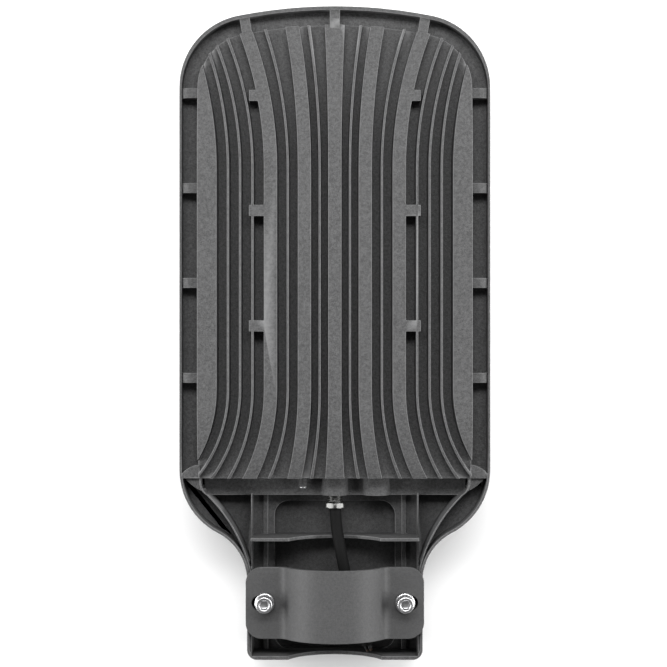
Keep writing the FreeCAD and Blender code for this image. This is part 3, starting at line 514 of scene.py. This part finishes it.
def turned(name, rings, around=48, closed=False):
    """Mesh through rings of (radius or function of the angle, z), in millimetres, about the Z axis.

    A radius of 0 is a single point. A closed one joins its last ring to its first.
    """
    work = bmesh.new()
    rows = []
    for radius, z in rings:
        if radius == 0:
            rows.append([work.verts.new((0, 0, z * MM))])
            continue
        row = []
        for step in range(around):
            angle = 2 * math.pi * step / around
            reach = (radius(angle) if callable(radius) else radius) * MM
            row.append(work.verts.new((reach * math.cos(angle), reach * math.sin(angle), z * MM)))
        rows.append(row)
    pairs = list(zip(rows, rows[1:]))
    if closed:
        pairs.append((rows[-1], rows[0]))
    for low, high in pairs:
        for step in range(around):
            after = (step + 1) % around
            corners = [low[step % len(low)], low[after % len(low)],
                       high[after % len(high)], high[step % len(high)]]
            work.faces.new(list(dict.fromkeys(corners)))
    bmesh.ops.recalc_face_normals(work, faces=work.faces)
    for face in work.faces:
        face.smooth = True
    mesh = bpy.data.meshes.new(name)
    work.to_mesh(mesh)
    work.free()
    return own_mesh(name, mesh)


def levels(radius, low, high, step):
    """Rings of one radius from low to high, close enough together for a thread."""
    count = max(1, math.ceil(abs(high - low) / step))
    return [(radius, low + (high - low) * n / count) for n in range(count + 1)]


def put(piece, place, turn=None):
    """Move a piece's mesh to its place in millimetres, after an optional turn."""
    piece.data.transform(Matrix.Translation(Vector(place) * MM) @ (turn or Matrix()))
    piece.data.update()
    return piece


def node_slots():
    return {part["node"]: part["material_slot"] for part in frame["record"]["subparts"]}


def keep(piece, *nodes, more=()):
    """Let a piece stand for its CAD nodes with the finish of their slot, and further finishes after it."""
    slot = node_slots()[nodes[0]]
    piece.data.materials.clear()
    piece.data.materials.append(MATERIALS[slot])
    for name in more:
        piece.data.materials.append(MATERIALS[name])
    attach(piece, "root")
    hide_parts(*nodes)
    return piece


def middle(node):
    """Middle of a CAD node's box in millimetres."""
    low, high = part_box(node)
    return [(a + b) / 2 / MM for a, b in zip(low, high)]


# Rules for what repeats

def thread_rule():
    """Screw thread on every wall of one radius, cut inwards, about the Z axis."""
    rule = Rule("thread", Radius=0.003, Pitch=0.001, Depth=0.0004, Low=0.0, High=1.0)
    place = rule.node("GeometryNodeInputPosition").outputs[0]
    x, y, z = rule.parts(place)
    reach = (x * x + y * y).root()
    turn = y.angle_to(x) / (2 * math.pi)
    crest = (z / rule.number("Pitch") - turn).zigzag()
    wall = (1.0 - (reach - rule.number("Radius")).size() * 20000).clamped()
    pitch = rule.number("Pitch")
    run_in = ((z - rule.number("Low")) / pitch).clamped()
    run_in = run_in * ((rule.number("High") - z) / pitch).clamped()
    inwards = crest * wall * run_in * rule.number("Depth") / reach.most(0.0001)
    shift = rule.node("ShaderNodeCombineXYZ", None, {
        0: x * inwards * -1.0, 1: y * inwards * -1.0, 2: 0.0})
    moved = rule.node("GeometryNodeSetPosition", None, {
        "Geometry": rule.inlet.outputs["Geometry"], "Offset": shift.outputs[0]})
    rule.end(moved.outputs[0])
    return rule


def grid_rule():
    """Copies of the incoming shape on a grid of places about a middle."""
    rule = Rule("grid", Columns=4, Rows=7, Width=0.066, Length=0.12, Middle=0.076)
    grid = rule.node("GeometryNodeMeshGrid", None, {
        "Size X": rule.number("Width"), "Size Y": rule.number("Length"),
        "Vertices X": rule.number("Columns"), "Vertices Y": rule.number("Rows")})
    shift = rule.node("ShaderNodeCombineXYZ", None, {1: rule.number("Middle")})
    moved = rule.node("GeometryNodeTransform", None, {
        "Geometry": grid.outputs[0], "Translation": shift.outputs[0]})
    copies = rule.node("GeometryNodeInstanceOnPoints", None, {
        "Points": moved.outputs[0], "Instance": rule.inlet.outputs["Geometry"]})
    rule.end(copies.outputs[0])
    return rule


# Pieces

DOWN = Matrix.Rotation(math.pi, 4, "X")
BACK = Matrix.Rotation(math.pi / 2, 4, "X")

# Sizes in millimetres.
ENTRY_Z = 26
BOLT_X = 42
BOLT_HEAD = 6
LENS_FACE = 30.9
DOME_LENGTH, DOME_WIDTH, DOME_HEIGHT = 7.3, 6.1, 3.2
SOURCE_FACE = 33.1

# Corner points of the cable's run: out of the gland, over the saddle rib, along the pole.
CABLE = ((0, -95, ENTRY_Z), (0, -112, ENTRY_Z), (3, -130, 32.5), (9.3, -160, 33.5), (20, -188.5, 34))
CABLE_DIAMETER = 7


def head_rings(radius, height, ease, drop, half_flat, depth):
    """Rings of a screw head that stands on z = 0, with a hex socket in its top."""
    rings = [(radius, 0), (radius, height - drop)]
    for step in range(1, 5):
        turn = math.pi / 2 * step / 4
        rings.append((radius - ease * (1 - math.cos(turn)), height - drop * (1 - math.sin(turn))))
    mouth = half_flat / math.cos(math.pi / 6) + 0.15
    rings += [(mouth + 0.2, height), (mouth, height - 0.15)]
    rings += [(hexagon(half_flat), height - 0.45), (hexagon(half_flat), height - depth)]
    rings += [(half_flat * 0.8, height - depth), (0, height - depth - half_flat * 0.3)]
    return rings


def socket_bolt(node):
    """Cap head bolt with a threaded shank, its head's rim rounded and its socket open to the sky."""
    x, y, _ = middle(node)
    low, high = [corner[2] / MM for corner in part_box(node)]
    seat = high - BOLT_HEAD
    shank = seat - low
    rings = [(0, -shank), (2.4, -shank), *levels(3, 0.6 - shank, -3, 0.17), (3, 0)]
    rings += head_rings(5, BOLT_HEAD, 0.9, 0.9, 2.5, 3)
    piece = turned(node + "_dressed", rings)
    RULES["thread"].apply(piece, Radius=0.003, Pitch=0.001, Depth=0.00045, Low=-shank * MM,
                          High=-0.003, Material=MATERIALS["stainless"])
    return keep(put(piece, (x, y, seat)), node)


def pan_screw(node, radius, height, seat):
    """Pan head screw that hangs from its seat with the socket underneath."""
    x, y, _ = middle(node)
    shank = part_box(node)[1][2] / MM - seat
    rings = [(0, -shank), (1.5, -shank), (2, 0.5 - shank), (2, 0)]
    rings += head_rings(radius, height, radius * 0.36, height * 0.7, radius * 0.36, height * 0.6)
    return keep(put(turned(node + "_dressed", rings), (x, y, seat), DOWN), node)


def flat_washer(node):
    x, y, _ = middle(node)
    low, high = [corner[2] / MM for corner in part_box(node)]
    rings = [(3.3, low), (5.85, low), (6, low + 0.15), (6, high - 0.35),
             (5.65, high), (3.4, high), (3.2, high - 0.2), (3.2, low + 0.1)]
    return keep(put(turned(node + "_dressed", rings, 64, True), (x, y, 0)), node)


def spring_washer(node):
    """Square wire bent to a ring, cut through and slightly sprung."""
    low, high = [corner[2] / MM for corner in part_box(node)]
    x = math.copysign(BOLT_X, middle(node)[0])
    y = middle(node)[1]
    thick, rise, edge = high - low - 0.2, 0.2, 0.2
    section = [(3.2 + edge, 0), (5.4 - edge, 0), (5.4, edge), (5.4, thick - edge), (5.4 - edge, thick),
               (3.2 + edge, thick), (3.2, thick - edge), (3.2, edge)]
    work = bmesh.new()
    rows = []
    steps = 56
    for step in range(steps + 1):
        share = step / steps
        angle = math.radians(7 + 346 * share)
        lift = low + rise * share
        places = [(r * math.cos(angle), r * math.sin(angle), z + lift) for r, z in section]
        rows.append([work.verts.new([value * MM for value in place]) for place in places])
    for first, second in zip(rows, rows[1:]):
        for n in range(len(section)):
            m = (n + 1) % len(section)
            work.faces.new((first[n], first[m], second[m], second[n]))
    work.faces.new(rows[0])
    work.faces.new(list(reversed(rows[-1])))
    bmesh.ops.recalc_face_normals(work, faces=work.faces)
    mesh = bpy.data.meshes.new(node + "_dressed")
    work.to_mesh(mesh)
    work.free()
    return keep(put(own_mesh(mesh.name, mesh), (x, y, 0)), node)


def gland():
    """Threaded nipple and hexagon nut with turned-off corners."""
    rings = [(5, 82.5), (5, 97.5), *levels(5, 97.6, 105, 0.18), (4.1, 105), (4.1, 82.5)]
    body = turned("gland_body_dressed", rings, 48, True)
    RULES["thread"].apply(body, Radius=0.005, Pitch=0.0015, Depth=0.00075, Low=0.0976,
                          High=0.108, Material=MATERIALS["nickel"])
    keep(put(body, (0, 0, ENTRY_Z), BACK), "gland_body")
    side = math.pi / 6
    corners = [(5.95, 103.35), (6.45, 103.9), (6.45, 106), (6.1, 106.5), (5.6, 106.85)]
    rings = [(5.05, 103.1), (5.5, 103.1), *((hexagon(5.7, limit, side), z) for limit, z in corners),
             (5, 107), (4.3, 107), (3.8, 106.7), (3.8, 105), (5.05, 105)]
    nut = turned("gland_nut_dressed", rings, 48, True)
    keep(put(nut, (0, 0, ENTRY_Z), BACK), "gland_nut")


def earth_pin():
    x, _, z = middle("earth_screw")
    rings = [(0, 84.4), (1.5, 84.4), (1.5, 93.2), (2.1, 93.2), (2.2, 93.35),
             (2.1, 93.9), (1.8, 94.35), (1.2, 94.68), (0.6, 94.8), (0, 94.8)]
    keep(put(turned("earth_screw_dressed", rings), (x, 0, z), BACK), "earth_screw")


def cable_run():
    """Mains cable on its one smooth line, with the three bare core ends at the pole end."""
    curve = bpy.data.curves.new("mains_cable_dressed", "CURVE")
    curve.dimensions = "3D"
    curve.bevel_depth = CABLE_DIAMETER / 2 * MM
    curve.bevel_resolution = 8
    curve.use_fill_caps = True
    spline = curve.splines.new("NURBS")
    spline.points.add(len(CABLE) - 1)
    for point, place in zip(spline.points, CABLE):
        point.co = (*(Vector(place) * MM), 1)
    spline.order_u = 3
    spline.use_endpoint_u = True
    spline.resolution_u = 24
    cable = own_mesh("mains_cable_dressed", curve)
    ends = [tail_core(word, angle) for word, angle in (("live", 90), ("neutral", 210), ("earth", 330))]
    keep(cable, "mains_cable")


def tail_core(word, angle):
    """Stripped core end: insulation, then the strands' tip."""
    end = Vector(CABLE[-1])
    ahead = (end - Vector(CABLE[-2])).normalized()
    turn = Vector((0, 0, 1)).rotation_difference(ahead).to_matrix().to_4x4()
    side = Vector((1.7 * math.cos(math.radians(angle)), 1.7 * math.sin(math.radians(angle)), 0))
    rings = [(0, 0), (1, 0), (1, 2.5), (0.95, 2.6), (0.62, 2.6), (0.62, 3.8), (0.5, 4), (0, 4)]
    piece = turned(f"tail_core_{word}_dressed", rings, 24)
    keep(piece, f"tail_core_{word}", more=("copper",))
    for face in piece.data.polygons:
        face.material_index = 1 if face.center.z > 2.65 * MM else 0
    return put(piece, end + turn @ side, turn)


def lens_plate():
    """Clear plate with an oval dome under each light source."""
    piece = rounded_copy("lens_array", "lens_array_dressed", 0.0002, 2)
    work = bmesh.new()
    work.from_mesh(piece.data)
    low = [corner for corner in work.verts if corner.co.z < (LENS_FACE - 0.3) * MM]
    bmesh.ops.delete(work, geom=low, context="VERTS")
    bmesh.ops.holes_fill(work, edges=[edge for edge in work.edges if edge.is_boundary], sides=0)
    work.to_mesh(piece.data)
    work.free()
    keep(piece, "lens_array")
    steps = 7
    rings = [(oval(DOME_LENGTH, DOME_WIDTH), LENS_FACE)]
    for step in range(1, steps + 1):
        turn = math.pi / 2 * step / steps
        section = oval(DOME_LENGTH * math.cos(turn) + 0.01, DOME_WIDTH * math.cos(turn) + 0.01)
        rings.append((section, LENS_FACE - DOME_HEIGHT * math.sin(turn)))
    rings.append((0, LENS_FACE - DOME_HEIGHT))
    dome = turned("lens_domes", rings, 32)
    RULES["grid"].apply(dome, Material=MATERIALS["lens_clear"])
    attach(dome, "root")


def source_board():
    """Board with a phosphor field in the face of each light source."""
    piece = rounded_copy("led_board", "led_board_dressed", 0.0001, 1)
    keep(piece, "led_board", more=("phosphor",))
    work = bmesh.new()
    work.from_mesh(piece.data)
    faces = [face for face in work.faces if face.normal.z < -0.9
             and abs(face.calc_center_median().z - SOURCE_FACE * MM) < 0.00005]
    bmesh.ops.inset_individual(work, faces=faces, thickness=0.0007)
    for face in faces:
        face.material_index = 1
    work.to_mesh(piece.data)
    work.free()


# Settings and operators

class LampSettings(bpy.types.PropertyGroup):
    housing_tone: bpy.props.FloatProperty(
        name="Housing tone", description="Grey of the housing's powder coat", default=0.066, min=0, max=1)
    strap_tone: bpy.props.FloatProperty(
        name="Strap tone", description="Grey of the strap's coat", default=0.062, min=0, max=1)
    edge_round: bpy.props.FloatProperty(
        name="Edge rounding", description="Width of the casting's rounded edges",
        default=0.00038, unit="LENGTH", subtype="DISTANCE")
    camera_height: bpy.props.FloatProperty(
        name="Camera height", description="Distance from the rim to the camera",
        default=1.08, unit="LENGTH", subtype="DISTANCE")
    frame_width: bpy.props.FloatProperty(
        name="Frame width", description="Width that the picture takes in at the rim",
        default=0.4002, unit="LENGTH", subtype="DISTANCE")


# Height of the casting's rim and of the floor, in metres. The floor is just clear of the underside.
RIM_HEIGHT = 0.044
FLOOR_HEIGHT = -0.0002

MATERIALS = {}
RULES = {}


class LAMP_OT_finishes(bpy.types.Operator):
    """Make the finishes and put them on the CAD nodes"""
    bl_idname = "lamp.finishes"
    bl_label = "Finishes"

    def execute(self, context):
        MATERIALS.update(finishes(context.scene.lamp))
        RULES.update(thread=thread_rule(), grid=grid_rule())
        for node, slot in node_slots().items():
            mesh = frame["nodes"][node].data
            mesh.materials.clear()
            mesh.materials.append(MATERIALS[slot])
        return {"FINISHED"}


class LAMP_OT_housing(bpy.types.Operator):
    """Round the edges of the casting, the cover frame and the glass"""
    bl_idname = "lamp.housing"
    bl_label = "Housing"

    def execute(self, context):
        width = context.scene.lamp.edge_round
        keep(rounded_copy("housing", "housing_casting", width, 2), "housing")
        keep(rounded_copy("cover_frame", "cover_frame_dressed", 0.0004, 2), "cover_frame")
        keep(rounded_copy("cover_glass", "cover_glass_dressed", 0.0003, 2), "cover_glass")
        keep(rounded_copy("entry_plug", "entry_plug_dressed", 0.0003, 2), "entry_plug")
        return {"FINISHED"}


class LAMP_OT_clamp(bpy.types.Operator):
    """Strap, bolts and washers of the pole clamp"""
    bl_idname = "lamp.clamp"
    bl_label = "Clamp"

    def execute(self, context):
        keep(rounded_copy("clamp_strap", "clamp_strap_dressed", 0.0004, 3), "clamp_strap")
        for word in ("left", "right"):
            socket_bolt(f"clamp_bolt_{word}")
            flat_washer(f"flat_washer_{word}")
            spring_washer(f"spring_washer_{word}")
        return {"FINISHED"}


class LAMP_OT_entry(bpy.types.Operator):
    """Cable gland, mains cable and earth screw"""
    bl_idname = "lamp.entry"
    bl_label = "Cable entry"

    def execute(self, context):
        gland()
        earth_pin()
        cable_run()
        return {"FINISHED"}


class LAMP_OT_underside(bpy.types.Operator):
    """Cover screws, lens domes and light sources"""
    bl_idname = "lamp.underside"
    bl_label = "Underside"

    def execute(self, context):
        for number in range(1, 9):
            pan_screw(f"cover_screw_{number}", 3.7, 2.4, 3.2)
        for number in range(1, 7):
            pan_screw(f"board_screw_{number}", 3.5, 2.2, LENS_FACE)
        lens_plate()
        source_board()
        return {"FINISHED"}


class LAMP_OT_stage(bpy.types.Operator):
    """Pale floor, soft lights and the camera above the lamp head"""
    bl_idname = "lamp.stage"
    bl_label = "Stage"

    def execute(self, context):
        scene = context.scene
        settings = scene.lamp
        scene.view_settings.view_transform = "Standard"
        bpy.ops.mesh.primitive_plane_add(size=8, location=(0, 0, FLOOR_HEIGHT))
        floor = context.active_object
        floor.name = "studio_floor"
        shader = Shader("studio_floor")
        shader.set(Base_Color=(0.92, 0.92, 0.92, 1), Roughness=0.9)
        floor.data.materials.append(shader.material)
        world = bpy.data.worlds.new("studio")
        world.use_nodes = True
        world.node_tree.nodes["Background"].inputs[0].default_value = (1, 1, 1, 1)
        world.node_tree.nodes["Background"].inputs[1].default_value = 0.17
        scene.world = world
        self.light("key", (0, 0.52, 0.95), (0, 0.0, 0.04), 0.3, 1.2, 14)
        self.light("left", (-1.0, 0, 0.47), (0, 0, 0.03), 0.3, 1.0, 15)
        self.light("right", (1.0, 0, 0.47), (0, 0, 0.03), 0.3, 1.0, 15)
        data = bpy.data.cameras.new("photo_view")
        data.sensor_width = 36
        data.lens = data.sensor_width * settings.camera_height / settings.frame_width
        camera = bpy.data.objects.new("photo_view", data)
        camera.location = (-0.0008, -0.0003, RIM_HEIGHT + settings.camera_height)
        scene.collection.objects.link(camera)
        scene.camera = camera
        return {"FINISHED"}

    def light(self, name, place, aim, tall, long, power):
        data = bpy.data.lights.new(name, "AREA")
        data.shape = "RECTANGLE"
        data.size = long
        data.size_y = tall
        data.energy = power
        made = bpy.data.objects.new(name, data)
        ahead = (Vector(aim) - Vector(place)).normalized()
        across = Vector((0, 1, 0)) if abs(ahead.x) > abs(ahead.y) else Vector((1, 0, 0))
        up = across.cross(ahead) * -1
        made.matrix_world = Matrix((across, up, -ahead)).transposed().to_4x4()
        made.location = place
        bpy.context.scene.collection.objects.link(made)


STEPS = (LAMP_OT_finishes, LAMP_OT_housing, LAMP_OT_clamp,
         LAMP_OT_entry, LAMP_OT_underside, LAMP_OT_stage)


class LAMP_PT_panel(bpy.types.Panel):
    """Sizes, finishes and steps of the lamp head"""
    bl_label = "Lamp head"
    bl_idname = "LAMP_PT_panel"
    bl_space_type = "VIEW_3D"
    bl_region_type = "UI"
    bl_category = "Lamp head"

    def draw(self, context):
        for name in LampSettings.__annotations__:
            self.layout.prop(context.scene.lamp, name)
        for step in STEPS:
            self.layout.operator(step.bl_idname)


CLASSES = (LampSettings, *STEPS, LAMP_PT_panel)


def register():
    for kind in CLASSES:
        bpy.utils.register_class(kind)
    bpy.types.Scene.lamp = bpy.props.PointerProperty(type=LampSettings)


def unregister():
    del bpy.types.Scene.lamp
    for kind in reversed(CLASSES):
        bpy.utils.unregister_class(kind)


def main():
    register()
    for step in STEPS:
        group, action = step.bl_idname.split(".")
        getattr(getattr(bpy.ops, group), action)()


if __name__ == "__main__":
    main()
